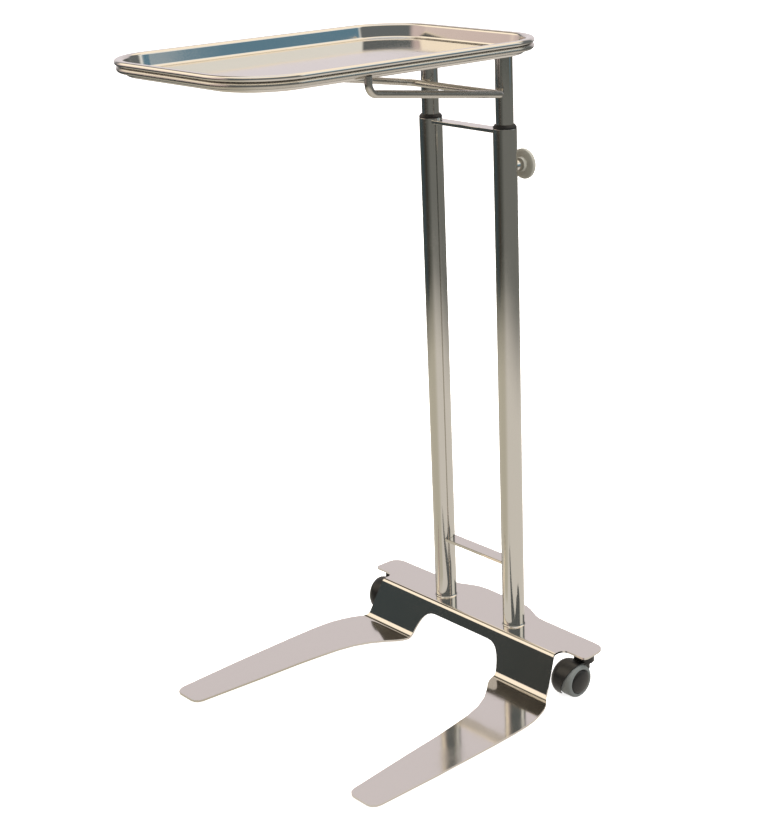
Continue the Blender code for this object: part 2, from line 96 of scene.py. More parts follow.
# %% [markdown]
# Mirror-polished stainless steel, type 304, is buffed with finer and finer compound. What
# the eye gets is a nearly clean reflection, a faint warm cast against chrome, long shallow
# ripples where the buffing wheel pressed (tens of millimetres apart), and a haze of hair
# scratches well under a millimetre wide. The ripples are a bump on a broad noise. The haze
# varies the roughness a little, drawn coarser than life so that it shows. The bent rods are
# buffed less than sheet and tube, so theirs is a softer, satin version. Its colour is also
# painted darker than the sheet's, as painted shade for the frame ring, which lies in the
# shadow of the tray's rim.

# %% Mirror-polished stainless steel
HAZE_PER_METRE = 420.0      # 2.4 mm apart, coarser than the real scratches
CLOUD_PER_METRE = 14.0      # 70 mm apart, where the wheel dwelt longer
RIPPLES_PER_METRE = 22.0    # 45 mm apart
RIPPLE_HEIGHT = 2.0 * MM    # at a bump strength of 1


def polished_stainless(name, colour, roughness, ripple):
    material, shader = new_material(name, colour, 1.0, roughness)
    tree = material.node_tree
    where = add(material, "ShaderNodeTexCoord")
    haze = add(material, "ShaderNodeTexNoise", [("Vector", where, "Object")],
               Scale=HAZE_PER_METRE, Detail=4.0, Roughness=0.6)
    cloud = add(material, "ShaderNodeTexNoise", [("Vector", where, "Object")],
                Scale=CLOUD_PER_METRE, Detail=2.0)
    both = add(material, "ShaderNodeMath", [(0, haze, "Fac"), (1, cloud, "Fac")],
               operation="MULTIPLY")
    # The two noises multiplied lie mostly between 0.12 and 0.42.
    spread = add(material, "ShaderNodeMapRange", [("Value", both, 0)],
                 From_Min=0.12, From_Max=0.42,
                 To_Min=roughness * 0.7, To_Max=roughness * 1.6)
    tree.links.new(spread.outputs["Result"], shader.inputs["Roughness"])
    wave = add(material, "ShaderNodeTexNoise", [("Vector", where, "Object")],
               Scale=RIPPLES_PER_METRE, Detail=1.0)
    bump = add(material, "ShaderNodeBump", [("Height", wave, "Fac")],
               Strength=ripple, Distance=RIPPLE_HEIGHT)
    tree.links.new(bump.outputs["Normal"], shader.inputs["Normal"])
    return material


STAINLESS = polished_stainless("Mirror polished 304 stainless sheet", "#DAD6D1", 0.085, 0.05)
# The rod steel is rougher as a real satin finish, and its colour is painted darker than the sheet's as painted
# shade for the frame ring under the tray's rim; the brace shares it.
ROD_STEEL_WITH_PAINTED_SHADE = polished_stainless("Satin 304 stainless rod darkened as painted shade", "#C6C2BB", 0.20, 0.03)
STAINLESS_TUBE = polished_stainless("Mirror polished 304 stainless tube", "#D4D2CD", 0.10, 0.03)
print("steel finishes:", STAINLESS.name, "|", ROD_STEEL_WITH_PAINTED_SHADE.name, "|", STAINLESS_TUBE.name)


# %% [markdown]
# The washers, bolts, foot plugs, axles, clamp screw and caster plates are carbon steel with
# bright zinc, duller than the stainless and slightly cool, with a fine spangle of about a
# millimetre. A Voronoi pattern has such grains, and here it only varies the roughness.

# %% Bright zinc plate
SPANGLES_PER_METRE = 900.0  # 1.1 mm apart


def bright_zinc():
    material, shader = new_material("Bright zinc plated steel", "#B9BCC0", 1.0, 0.32)
    where = add(material, "ShaderNodeTexCoord")
    spangle = add(material, "ShaderNodeTexVoronoi", [("Vector", where, "Object")],
                  Scale=SPANGLES_PER_METRE)
    spread = add(material, "ShaderNodeMapRange", [("Value", spangle, "Distance")],
                 To_Min=0.24, To_Max=0.42)
    material.node_tree.links.new(spread.outputs["Result"], shader.inputs["Roughness"])
    return material


ZINC = bright_zinc()
print("zinc finish:", ZINC.name)


# %% [markdown]
# The plastics are injection moulded. Their moulds are spark-eroded to a fine leather of
# pits a third to half a millimetre apart, which breaks the gloss up. Nylon for the caster
# hoods is black and fairly shiny, the guide collars are the same nylon but duller, the
# hidden guides are undyed, and the knob is light grey polypropylene. The tread is a grey
# rubber, moulded too, with coarser pits and less gloss.

# %% Moulded plastics and rubber
MOTTLE_PER_METRE = 60.0     # 17 mm apart, from the flow of the melt and from handling
PIT_HEIGHT = 0.4 * MM       # at a bump strength of 1


def moulded(name, colour, roughness, pit_mm, depth, mottle=0.12):
    material, shader = new_material(name, colour, 0.0, roughness)
    tree = material.node_tree
    where = add(material, "ShaderNodeTexCoord")
    pits = add(material, "ShaderNodeTexNoise", [("Vector", where, "Object")],
               Scale=1000.0 / pit_mm, Detail=3.0)
    bump = add(material, "ShaderNodeBump", [("Height", pits, "Fac")],
               Strength=depth, Distance=PIT_HEIGHT)
    tree.links.new(bump.outputs["Normal"], shader.inputs["Normal"])
    cloud = add(material, "ShaderNodeTexNoise", [("Vector", where, "Object")],
                Scale=MOTTLE_PER_METRE, Detail=5.0)
    tone = add(material, "ShaderNodeMixRGB", [("Fac", cloud, "Fac")],
               Color1=linear(colour, 1 - mottle), Color2=linear(colour, 1 + mottle))
    tree.links.new(tone.outputs["Color"], shader.inputs["Base Color"])
    rub = add(material, "ShaderNodeMapRange", [("Value", cloud, "Fac")],
              To_Min=roughness * 0.8, To_Max=roughness * 1.25)
    tree.links.new(rub.outputs["Result"], shader.inputs["Roughness"])
    return material


BLACK_NYLON = moulded("Moulded black nylon", "#121213", 0.34, 0.35, 0.25)
COLLAR_NYLON = moulded("Dull black nylon collar", "#17171A", 0.45, 0.35, 0.25)
NATURAL_NYLON = moulded("Undyed nylon", "#DDD8C8", 0.42, 0.4, 0.2)
KNOB_GREY = moulded("Light grey polypropylene", "#B4B3AA", 0.36, 0.4, 0.25, 0.06)
TREAD = moulded("Grey non-marking rubber", "#74797A", 0.60, 0.7, 0.5, 0.08)
print("finishes in all:", len(bpy.data.materials))


# %% [markdown]
# Polished steel shows every facet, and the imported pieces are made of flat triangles. A
# turned piece is therefore modelled again: one vertex is pulled along the outline of the
# profile, and the outline is spun round the axis. A rod is the same pulled line with its
# corners rounded, given a round section as a curve. All of this is what one would do by
# hand in edit mode.

# %% Helpers for a pulled line
def deselect():
    """Back to object mode, with nothing selected."""
    if bpy.context.object and bpy.context.object.mode != "OBJECT":
        bpy.ops.object.mode_set(mode="OBJECT")
    bpy.ops.object.select_all(action="DESELECT")


def pull_line(name, points):
    """A mesh of one vertex, extruded from point to point. It is left in edit mode."""
    deselect()
    bpy.ops.mesh.primitive_plane_add(size=0.2 * MM, location=points[0])
    obj = bpy.context.object
    obj.name = obj.data.name = name
    bpy.ops.object.transform_apply(location=True, rotation=True, scale=True)
    bpy.ops.object.mode_set(mode="EDIT")
    bpy.ops.mesh.select_all(action="SELECT")
    bpy.ops.mesh.merge(type="CENTER")
    for a, b in zip(points, points[1:]):
        step = Vector(b) - Vector(a)
        bpy.ops.mesh.extrude_region_move(TRANSFORM_OT_translate={"value": step})
    return obj


# %% Helpers for turned pieces and rods
SEAM = 2e-6     # points nearer than this, in metres, are one point


def close_seams():
    """Merges what meets, turns the faces outwards, and leaves edit mode."""
    bpy.ops.mesh.select_all(action="SELECT")
    bpy.ops.mesh.remove_doubles(threshold=SEAM)
    bpy.ops.mesh.normals_make_consistent(inside=False)
    bpy.ops.object.mode_set(mode="OBJECT")


def turn_piece(name, profile, centre, axis=(0, 0, 1), steps=96):
    """A profile of (radius, height) points in mm, spun round an axis through centre.

    The centre is in metres, and heights are measured from it along the axis.
    """
    up = Vector(axis)
    beside = Vector((0, 0, 1)) if abs(up.z) < 0.5 else Vector((0, 1, 0))
    side = up.cross(beside).normalized()
    centre = Vector(centre)
    obj = pull_line(name, [centre + side * r * MM + up * h * MM for r, h in profile])
    bpy.ops.mesh.select_all(action="SELECT")
    bpy.ops.mesh.spin(steps=steps, angle=2 * math.pi, center=centre, axis=up)
    close_seams()
    return obj


def rod_piece(name, points, bend, radius, closed=False):
    """A round rod along a line, with its bends rounded."""
    pull_line(name, list(points) + ([points[0]] if closed else []))
    bpy.ops.mesh.select_all(action="SELECT")
    bpy.ops.mesh.remove_doubles(threshold=5 * SEAM)
    bpy.ops.mesh.select_all(action="SELECT")
    bpy.ops.mesh.bevel(offset=bend, segments=12, affect="VERTICES")
    bpy.ops.object.mode_set(mode="OBJECT")
    bpy.ops.object.convert(target="CURVE")
    obj = bpy.context.object
    obj.data.bevel_depth = radius
    obj.data.bevel_resolution = 7
    obj.data.use_fill_caps = True
    bpy.ops.object.convert(target="MESH")
    obj = bpy.context.object
    bpy.ops.object.mode_set(mode="EDIT")
    close_seams()
    return obj


# %% [markdown]
# Folded, cut and moulded pieces are right as they are packed, apart from their edges, which
# are sharper than any real edge. Each is copied, its triangles are merged back into whole
# faces, and a Bevel modifier rounds the edges. A rounded edge beside a long bend can shade
# a flat sheet as if it were hollow, so a bisect line beside the bend holds the sheet flat.

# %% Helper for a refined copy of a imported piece
FLAT_WITHIN = math.radians(0.5)     # neighbours flatter than this are one face
SHARP_FROM = math.radians(38)       # edges sharper than this are rounded


def refined_copy(node, bevel, loops=()):
    """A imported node's own solid with its sharp edges rounded, and with lines beside bends."""
    source = frame["nodes"][node]
    deselect()
    source.select_set(True)
    bpy.context.view_layer.objects.active = source
    bpy.ops.object.duplicate()
    obj = bpy.context.object
    obj.parent = None
    for key in [k for k in obj.keys() if k.startswith("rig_")]:
        del obj[key]
    obj.name = obj.data.name = node + "_finish"
    bpy.ops.object.mode_set(mode="EDIT")
    bpy.ops.mesh.select_all(action="SELECT")
    bpy.ops.mesh.remove_doubles(threshold=SEAM)
    bpy.ops.mesh.dissolve_limited(angle_limit=FLAT_WITHIN)
    for at, across in loops:
        bpy.ops.mesh.select_all(action="SELECT")
        bpy.ops.mesh.bisect(plane_co=at, plane_no=across)
    bpy.ops.object.mode_set(mode="OBJECT")
    edge = obj.modifiers.new("edge", "BEVEL")
    edge.width = bevel * MM
    edge.segments = 2
    edge.limit_method = "ANGLE"
    edge.angle_limit = SHARP_FROM
    bpy.ops.object.modifier_apply(modifier="edge")
    return obj


# %% [markdown]
# Every finished piece is treated alike at the end. It is shaded smooth up to an angle, with
# its large faces kept flat by a Weighted Normal modifier. It gets its finish and the body that
# it moves with, and the imported pieces that it stands for are hidden. Two more helpers read
# where a imported piece stands.

# %% Helpers for finishing and placing
def finish_piece(obj, material, body, slot, *nodes, angle=32):
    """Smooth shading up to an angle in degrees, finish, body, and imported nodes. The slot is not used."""
    deselect()
    obj.select_set(True)
    bpy.context.view_layer.objects.active = obj
    bpy.ops.object.shade_smooth_by_angle(angle=math.radians(angle))
    flat = obj.modifiers.new("flat", "WEIGHTED_NORMAL")
    flat.keep_sharp = True
    flat.weight = 80
    bpy.ops.object.modifier_apply(modifier="flat")
    obj.data.materials.clear()
    obj.data.materials.append(material)
    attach(obj, body)
    if nodes:
        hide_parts(*nodes)
    print(obj.name, len(obj.data.polygons), "faces")


def middle(node):
    """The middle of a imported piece, in metres."""
    low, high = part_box(node)
    return (low + high) / 2


def upright(node):
    """An upright round piece: its radius, bottom and top in mm, and its axis in the plan."""
    low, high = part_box(node)
    centre = middle(node)
    return (high.x - low.x) / 2 / MM, low.z / MM, high.z / MM, (centre.x, centre.y, 0)


# %% [markdown]
# The fixed posts are 1-1/4 inch tube. The upper end of each is turned in slightly where it
# was faced and deburred. A turned profile gives the wall, the deburred ends and the bore in
# one piece, and the tenths of a millimetre in it are its chamfers. The right post is
# drilled at the back for the clamp's pressure pad, so a cylinder is taken out of it there
# with a Boolean modifier.

# %% Fixed posts
SIDES = ("left", "right")
TUBE_WALL = 1.5         # mm
DRILL_RADIUS = 4.5      # mm
DRILL_LENGTH = 10.0     # mm
DRILL_BEHIND = 15.0     # mm, from the post's axis to the middle of the drill


def drill_for_clamp(post, axis_at):
    """A hole through the rear wall of a post, at the height of the pressure pad."""
    deselect()
    bpy.ops.mesh.primitive_cylinder_add(
        vertices=48, radius=DRILL_RADIUS * MM, depth=DRILL_LENGTH * MM,
        rotation=(math.radians(90), 0, 0),
        location=(axis_at[0], axis_at[1] + DRILL_BEHIND * MM, middle("clamp_pad").z))
    drill = bpy.context.object
    hole = post.modifiers.new("clamp_hole", "BOOLEAN")
    hole.object = drill
    hole.operation = "DIFFERENCE"
    hole.solver = "EXACT"
    bpy.context.view_layer.objects.active = post
    bpy.ops.object.modifier_apply(modifier="clamp_hole")
    bpy.data.objects.remove(drill)


for word in SIDES:
    radius, bottom, top, axis_at = upright("outer_tube_" + word)
    bore = radius - TUBE_WALL
    post = turn_piece("post_" + word, [
        (bore, bottom + 0.2), (radius - 0.4, bottom), (radius, bottom + 0.4),
        (radius, top - 0.7), (radius - 0.25, top - 0.2), (radius - 0.7, top),
        (bore + 0.2, top), (bore, top - 0.3), (bore, bottom + 0.2)], axis_at)
    if word == "right":
        drill_for_clamp(post, axis_at)
    finish_piece(post, STAINLESS_TUBE, "base", "mirror_stainless", "outer_tube_" + word)


# %% [markdown]
# The rising posts are the thinner tubes that slide in the fixed ones and carry the tray.
# They could be plain cylinders, but both ends of a sliding tube are chamfered so that they
# don't score the guides, and a turned profile has those chamfers in it.

# %% Rising posts
for word in SIDES:
    radius, bottom, top, axis_at = upright("inner_tube_" + word)
    bore = radius - TUBE_WALL
    post = turn_piece("rising_post_" + word, [
        (bore, bottom + 0.2), (radius - 0.4, bottom), (radius, bottom + 0.4),
        (radius, top - 0.4), (radius - 0.4, top), (bore + 0.2, top), (bore, top - 0.2),
        (bore, bottom + 0.2)], axis_at)
    finish_piece(post, STAINLESS_TUBE, "mast", "mirror_stainless", "inner_tube_" + word)


# %% [markdown]
# A black nylon collar is pressed into the top of each fixed post and guides the rising one.
# A thin skirt goes down into the tube, a rounded shoulder sits on its end, and a cone runs
# up to a thin lip round the rising post. All of it is one turned profile.

# %% Guide collars
COLLAR_PLAY = 0.3       # mm, between the collar and the rising post
SKIRT_STEP = 1.7        # mm, from the shoulder's edge in to the skirt
for word in SIDES:
    shoulder, bottom, top, axis_at = upright("guide_collar_" + word)
    bore = upright("inner_tube_" + word)[0] + COLLAR_PLAY
    seat = upright("outer_tube_" + word)[2]
    skirt = shoulder - SKIRT_STEP
    collar = turn_piece("collar_" + word, [
        (bore, bottom), (skirt, bottom), (skirt, seat + 0.3), (shoulder - 0.3, seat + 0.3),
        (shoulder, seat + 0.6), (shoulder, seat + 1.5), (shoulder - 0.3, seat + 2.4),
        (shoulder - 1.2, seat + 3.5), (bore + 1.6, top - 0.25), (bore + 0.6, top),
        (bore, top - 0.5), (bore, bottom)], axis_at)
    finish_piece(collar, COLLAR_NYLON, "base", "black_nylon", "guide_collar_" + word)


# %% [markdown]
# The brace and the tray's carrying frame are bent from solid round bar. A bent bar keeps
# its section through the bend, so a line with rounded corners and a round bevel is the
# whole story. The brace is a U that crosses in front of the rising posts, and its arms
# spread and rise to the frame.

# %% Brace
BRACE_R = 4.75 * MM
FRAME_R = 3.95 * MM
TOUCH_GAP = 0.3 * MM        # between two bars that touch, or a bar and a post
BRACE_BEND = 12 * MM
ARM_OUT = 15.5 * MM         # from the post's axis out to where the arm leaves the cross bar
ARM_RISE = 40.5 * MM        # from the cross bar up to the arm's last bend
brace_low, brace_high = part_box("brace_rod")
frame_low, frame_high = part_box("tray_frame")
post_y = middle("inner_tube_right").y
post_half = middle("inner_tube_right").x
cross_z = brace_low.z + BRACE_R
cross_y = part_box("inner_tube_right")[0].y - TOUCH_GAP - BRACE_R
end_x = brace_high.x - BRACE_R
end_y = brace_low.y + BRACE_R
right_arm = [
    Vector((post_half + ARM_OUT, cross_y, cross_z)),
    Vector((end_x, end_y, cross_z + ARM_RISE)),
    Vector((end_x, end_y, frame_low.z - TOUCH_GAP))]
left_arm = [Vector((-p.x, p.y, p.z)) for p in reversed(right_arm)]
brace = rod_piece("brace_bar", left_arm + right_arm, BRACE_BEND, BRACE_R)
# The brace gets the rod steel with its darker colour, the painted shade meant for the ring.
finish_piece(brace, ROD_STEEL_WITH_PAINTED_SHADE, "mast", "mirror_stainless", "brace_rod")


# %% [markdown]
# The frame is a closed ring of thinner bar, welded where its ends meet and buffed over, so
# no seam is drawn. Its corners are wide, because the tray's rim rests on it all round.

# %% Tray frame
RING_BEND = 73.2 * MM
frame_z = (frame_low.z + frame_high.z) / 2
ring_x = frame_high.x - FRAME_R
ring_front = frame_low.y + FRAME_R
ring_rear = frame_high.y - FRAME_R
ring_corners = [Vector((x, y, frame_z)) for x, y in (
    (-ring_x, ring_front), (ring_x, ring_front), (ring_x, ring_rear), (-ring_x, ring_rear))]
ring = rod_piece("tray_ring", ring_corners, RING_BEND, FRAME_R, closed=True)
# The ring's steel is painted darker in colour, a painted shade for where it lies under the rim.
finish_piece(ring, ROD_STEEL_WITH_PAINTED_SHADE, "mast", "mirror_stainless", "tray_frame")


# %% [markdown]
# The tray is drawn from one sheet, 1 mm thick: a flat floor, short sloping walls, and a
# curled rim. The line of that section is pulled as a chain of points and made a curve, to
# be the bevel shape of a rounded rectangle. So it keeps its true form round the corners, as
# a drawn sheet does. A box with an inset could be shaped instead, but it is hard to keep
# its curled rim even round the corners. The section is drawn in mm, as (distance in from
# the rim's line, height).

# %% Tray: the section of its sheet
SHEET = 1.0             # mm
RIM_R = 3.4             # mm, from the rim's outer edge to the line that it is swept along
CURL_R = 2.9            # mm, the curl's own radius, to the middle of the sheet
CREST_IN = 3.6          # mm, where the wall has turned level at its top
CREST_R = 3.8           # mm, how far in from there its slope starts to turn
WALL_FOOT = 9.8         # mm, where the wall meets the floor
FOOT_BEND = 3.4         # mm
FLOOR_HOLD = 14.5       # mm, a line beside the bend that holds the floor flat
FLOOR_EDGE = 24.0       # mm, where the swept strip ends
tray_low, tray_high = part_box("tray")
rim_z = tray_high.z / MM - RIM_R
sheet_z = tray_low.z / MM + SHEET / 2
crest = [(CREST_IN - CREST_R * math.cos(math.radians(a)), rim_z + CURL_R * math.sin(math.radians(a)))
         for a in range(180, 89, -15)]
curl = crest + [(-CURL_R * math.cos(math.radians(a)), rim_z + CURL_R * math.sin(math.radians(a)))
                for a in range(90, -112, -12)]
wall = [(FLOOR_EDGE, sheet_z), (FLOOR_HOLD, sheet_z), (WALL_FOOT, sheet_z)]
print("tray section:", len(wall) + len(curl), "points before its foot is rounded")


def tray_section():
    """The middle of the sheet as a curve in the XY plane, its +X towards the tray's middle."""
    points = [Vector((s * MM, z * MM, 0)) for s, z in wall + curl[:1]]
    line = pull_line("tray_section", points)
    bpy.ops.mesh.select_all(action="DESELECT")
    bpy.ops.object.mode_set(mode="OBJECT")
    for vertex in line.data.vertices:
        vertex.select = abs(vertex.co.x - WALL_FOOT * MM) < SEAM
    bpy.ops.object.mode_set(mode="EDIT")
    bpy.ops.mesh.bevel(offset=FOOT_BEND * MM, segments=6, affect="VERTICES")
    bpy.ops.mesh.select_all(action="DESELECT")
    bpy.ops.object.mode_set(mode="OBJECT")
    wall_top = Vector(curl[0]) * MM
    end = min(line.data.vertices, key=lambda v: (v.co.xy - wall_top).length)
    end.select = True
    bpy.ops.object.mode_set(mode="EDIT")
    for a, b in zip(curl, curl[1:]):
        step = (Vector(b) - Vector(a)).to_3d() * MM
        bpy.ops.mesh.extrude_region_move(TRANSFORM_OT_translate={"value": step})
    bpy.ops.object.mode_set(mode="OBJECT")
    bpy.ops.object.convert(target="CURVE")
    return bpy.context.object


# %% Tray: the section swept round the rim
TRAY_CORNER = 79.0 * MM
rim_line = RIM_R * MM
tray_mid = (tray_low + tray_high) / 2
section = tray_section()
deselect()
bpy.ops.mesh.primitive_plane_add(size=1)
tray = bpy.context.object
tray.name = tray.data.name = "tray_sheet"
tray.scale = (tray_high.x - tray_low.x - 2 * rim_line, tray_high.y - tray_low.y - 2 * rim_line, 1)
tray.location = (tray_mid.x, tray_mid.y, 0)
bpy.ops.object.transform_apply(location=True, rotation=True, scale=True)
bpy.ops.object.mode_set(mode="EDIT")
bpy.ops.mesh.select_all(action="SELECT")
bpy.ops.mesh.bevel(offset=TRAY_CORNER - rim_line, segments=24, affect="VERTICES")
bpy.ops.mesh.delete(type="ONLY_FACE")
bpy.ops.object.mode_set(mode="OBJECT")
bpy.ops.object.convert(target="CURVE")
tray = bpy.context.object
tray.data.dimensions = "2D"
tray.data.bevel_mode = "OBJECT"
tray.data.bevel_object = section
tray.data.use_fill_caps = False
bpy.ops.object.convert(target="MESH")
tray = bpy.context.object
bpy.data.objects.remove(section)
print("tray strip:", len(tray.data.polygons), "faces")


# %% [markdown]
# The sweep leaves a hole where the floor is. Its edge is the open border of the strip, low
# down and well inside the rim, so those edges are picked by their place and filled with one
# flat face. Solidify then gives the sheet its thickness, half to each side of the middle.

# %% Tray: the floor and the thickness
NEAR = 1 * MM
bpy.ops.object.mode_set(mode="EDIT")
bpy.ops.mesh.select_all(action="SELECT")
bpy.ops.mesh.remove_doubles(threshold=SEAM)
bpy.ops.mesh.select_all(action="DESELECT")
bpy.ops.object.mode_set(mode="OBJECT")
inner_x = tray_high.x - rim_line - FLOOR_EDGE * MM + NEAR
inner_y = (tray_high.y - tray_low.y) / 2 - rim_line - FLOOR_EDGE * MM + NEAR
face_count = {}
for face in tray.data.polygons:
    for key in face.edge_keys:
        face_count[key] = face_count.get(key, 0) + 1
for edge in tray.data.edges:
    ends = [tray.data.vertices[i].co for i in edge.vertices]
    inside = all(abs(p.x) < inner_x and abs(p.y - tray_mid.y) < inner_y for p in ends)
    low_down = abs(ends[0].z - sheet_z * MM) < 0.1 * MM
    edge.select = face_count.get(tuple(sorted(edge.vertices))) == 1 and inside and low_down
bpy.ops.object.mode_set(mode="EDIT")
bpy.ops.mesh.select_mode(type="EDGE")
bpy.ops.mesh.edge_face_add()
bpy.ops.mesh.select_mode(type="VERT")
bpy.ops.mesh.select_all(action="SELECT")
bpy.ops.mesh.normals_make_consistent(inside=False)
bpy.ops.object.mode_set(mode="OBJECT")
thick = tray.modifiers.new("sheet", "SOLIDIFY")
thick.thickness = SHEET * MM
thick.offset = 0.0
bpy.ops.object.modifier_apply(modifier="sheet")
finish_piece(tray, STAINLESS, "tray", "mirror_stainless", "tray", angle=50)


# %% [markdown]
# The base is one sheet, laser cut and folded twice, with its edges broken by a file and
# polished over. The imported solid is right, so a copy of it has its sharp edges rounded by
# half a millimetre, which is what catches the light along the outline. The cross bars, the
# saddles under the tray and the clamp's threaded boss are treated in the same way.

# %% Base, bars and saddles
BENDS_END_ALONG = (142.3, 182.8)    # y in mm, at the legs and at the top plate
BENDS_END_UP = (10.4, 53.8)         # z in mm, both at the web between the two bends
bend_lines = [((0, y * MM, 0), (0, 1, 0)) for y in BENDS_END_ALONG]
bend_lines += [((0, 0, z * MM), (0, 0, 1)) for z in BENDS_END_UP]
for node, name, body, bevel, lines in (
        ("base_plate", "base_sheet", "base", 0.55, bend_lines),
        ("upper_crossbar", "upper_bar", "base", 0.5, ()),
        ("lower_crossbar", "lower_bar", "base", 0.5, ()),
        ("saddle_plug_left", "saddle_left", "mast", 0.3, ()),
        ("saddle_plug_right", "saddle_right", "mast", 0.3, ()),
        ("clamp_boss", "clamp_socket", "base", 0.3, ())):
    piece = refined_copy(node, bevel, lines)
    piece.name = piece.data.name = name
    finish_piece(piece, STAINLESS, body, "mirror_stainless", node)


# %% [markdown]
# Where the fixed posts meet the top plate, a bead of weld was laid and buffed back to a
# small smooth fillet. It is a ring with a hollow quarter-round section, spun round the
# post. It is an extra piece that stands for no packed one.

# %% Polished weld fillets
TOUCH = 0.05        # mm, from the bead to the steel that it lies on
plate_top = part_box("base_plate")[1].z / MM
foot = plate_top + TOUCH
for word in SIDES:
    radius, bottom, top, axis_at = upright("outer_tube_" + word)
    fillet = turn_piece("weld_" + word, [
        (radius + TOUCH, foot), (radius + 2.2, foot), (radius + 1.2, foot + 0.35),
        (radius + 0.55, foot + 0.9), (radius + 0.2, foot + 1.7), (radius + TOUCH, foot + 2.4),
        (radius + TOUCH, foot)], axis_at)
    finish_piece(fillet, STAINLESS, "base", "mirror_stainless")


# %% [markdown]
# The hand knob is a moulded disc with a hub towards the post, on a plain steel stud. The
# disc has a full rounded edge and a slightly domed face, and a blind bore takes the stud.
# It could be a cylinder with a wide bevel, but the profile has different roundings on its
# two sides, so it is turned too, round an axis that runs from front to back.

# %% Clamp knob
knob_low, knob_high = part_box("clamp_knob")
knob_at = middle("clamp_knob")
knob_axis = Vector((knob_at.x, 0, knob_at.z))
rim = (knob_high.x - knob_low.x) / 2 / MM
near = knob_low.y / MM
BORE = 4.3          # mm, round the stud
HAND_KNOB = [
    (BORE, near), (8.2, near), (8.9, near + 0.3), (9.3, near + 1.0), (9.7, near + 3.6),
    (10.4, near + 4.3), (rim - 5, near + 4.6), (rim - 2.4, near + 5.1), (rim - 0.8, near + 6.0),
    (rim - 0.1, near + 7.4), (rim, near + 8.6), (rim - 0.3, near + 10.2),
    (rim - 1.4, near + 11.6), (rim - 3.4, near + 12.5), (rim - 8.0, near + 13.7),
    (rim - 13.5, near + 15.0), (rim - 17, near + 15.4), (0, near + 15.5), (0, near + 12.4),
    (BORE, near + 12.4), (BORE, near)]
knob = turn_piece("hand_knob", HAND_KNOB, knob_axis, axis=(0, 1, 0), steps=120)
finish_piece(knob, KNOB_GREY, "clamp_screw", "light_grey_knob_plastic", "clamp_knob")


# %% [markdown]
# Each caster is a black hood over a wheel that shows on one side only. The hood is a
# moulded dome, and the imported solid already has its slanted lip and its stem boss, so its
# edges are rounded on a copy. The wheel is turned again: a grey tread with a rounded
# shoulder on its open side, a black hub, and a plain domed cap.

# %% Profiles of the wheel
# Each point is (radius, distance along the axle from the wheel's middle), in mm.
TREAD_R = 23.5
TREAD_PROFILE = [
    (17.6, -6.0), (TREAD_R - 3.2, -6.0), (TREAD_R - 1.6, -5.5), (TREAD_R - 0.5, -4.3),
    (TREAD_R - 0.05, -2.4), (TREAD_R, 0.5), (TREAD_R, 9.0), (TREAD_R - 0.1, 11.4),
    (TREAD_R - 0.8, 13.6), (TREAD_R - 2.0, 14.9), (TREAD_R - 3.6, 15.4), (18.4, 15.7),
    (17.6, 15.2), (17.6, -6.0)]
HUB_PROFILE = [
    (4.2, -6.6), (7.2, -6.6), (7.6, -6.2), (7.6, -3.6), (16.8, -3.6), (17.3, -3.1),
    (17.3, 12.6), (16.9, 13.0), (4.2, 13.0), (4.2, -6.6)]
CAP_PROFILE = [
    (0, 13.3), (16.4, 13.3), (17.1, 13.8), (17.2, 14.6), (16.8, 15.8), (15.9, 16.7),
    (14.4, 17.5), (11.0, 18.4), (7.0, 19.1), (3.0, 19.5), (0, 19.6)]


def turn_on_axle(name, profile, word):
    """A wheel part, turned on the axle of the left or the right caster."""
    axle = next(j for j in frame["joints"] if j["name"] == "wheel_%s_roll" % word)
    return turn_piece(name, profile, axle["pos_m"], Vector(axle["axis"]).normalized())


# %% Casters
for word in SIDES:
    hood = refined_copy("caster_hood_" + word, 0.35)
    hood.name = hood.data.name = "hood_" + word
    finish_piece(hood, BLACK_NYLON, "caster_" + word, "black_nylon", "caster_hood_" + word,
                 angle=40)
    tread = turn_on_axle("tread_" + word, TREAD_PROFILE, word)
    finish_piece(tread, TREAD, "wheel_" + word, "grey_tread_rubber", "wheel_tread_" + word)
    hub = turn_on_axle("hub_" + word, HUB_PROFILE, word)
    finish_piece(hub, BLACK_NYLON, "wheel_" + word, "black_nylon", "wheel_hub_" + word)
    cap = turn_on_axle("cap_" + word, CAP_PROFILE, word)
    finish_piece(cap, BLACK_NYLON, "wheel_" + word, "black_nylon", "hub_cap_" + word)
    stem = refined_copy("caster_stem_" + word, 0.3)
    stem.name = stem.data.name = "caster_plate_" + word
    finish_piece(stem, ZINC, "base", "bright_zinc_steel", "caster_stem_" + word)


# %% [markdown]
# The bolts, washers, plugs, lower guides, axles, clamp screw and pressure pad are small, or
# hidden in the tubes and under the base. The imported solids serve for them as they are, and
# each only gets the finish that its slot names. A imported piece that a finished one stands
# for is hidden, and is passed over.

# %% Small steel and nylon pieces that stay as packed
FINISH_OF_SLOT = {
    "bright_zinc_steel": ZINC, "natural_nylon": NATURAL_NYLON, "black_nylon": BLACK_NYLON,
    "mirror_stainless": STAINLESS}
slot_of_node = {part["node"]: part["material_slot"] for part in frame["record"]["subparts"]}
for node, obj in frame["nodes"].items():
    if obj.hide_render:
        continue
    obj.data.materials.clear()
    obj.data.materials.append(FINISH_OF_SLOT[slot_of_node[node]])
    print("as packed:", node)


# %% [markdown]
# Polished steel is a picture of what stands round it, so the studio is mostly a room to
# reflect. It could be an image wrapped round the world, but drawn light keeps the script
# whole and can be tuned part by part. A large dome glows with the room: grey walls, a pale
# wall to the left, a light backdrop behind the stand, a bluish window wall with a blind to
# the right, and a warm ceiling light crossed by a dark beam. The steel sees it, and the
# camera doesn't.
# Directions are compared by their dot product, which is the cosine of the angle between.

# %% The reflected room
ROOM_BASE = "#5C5D55"       # the room below the horizon
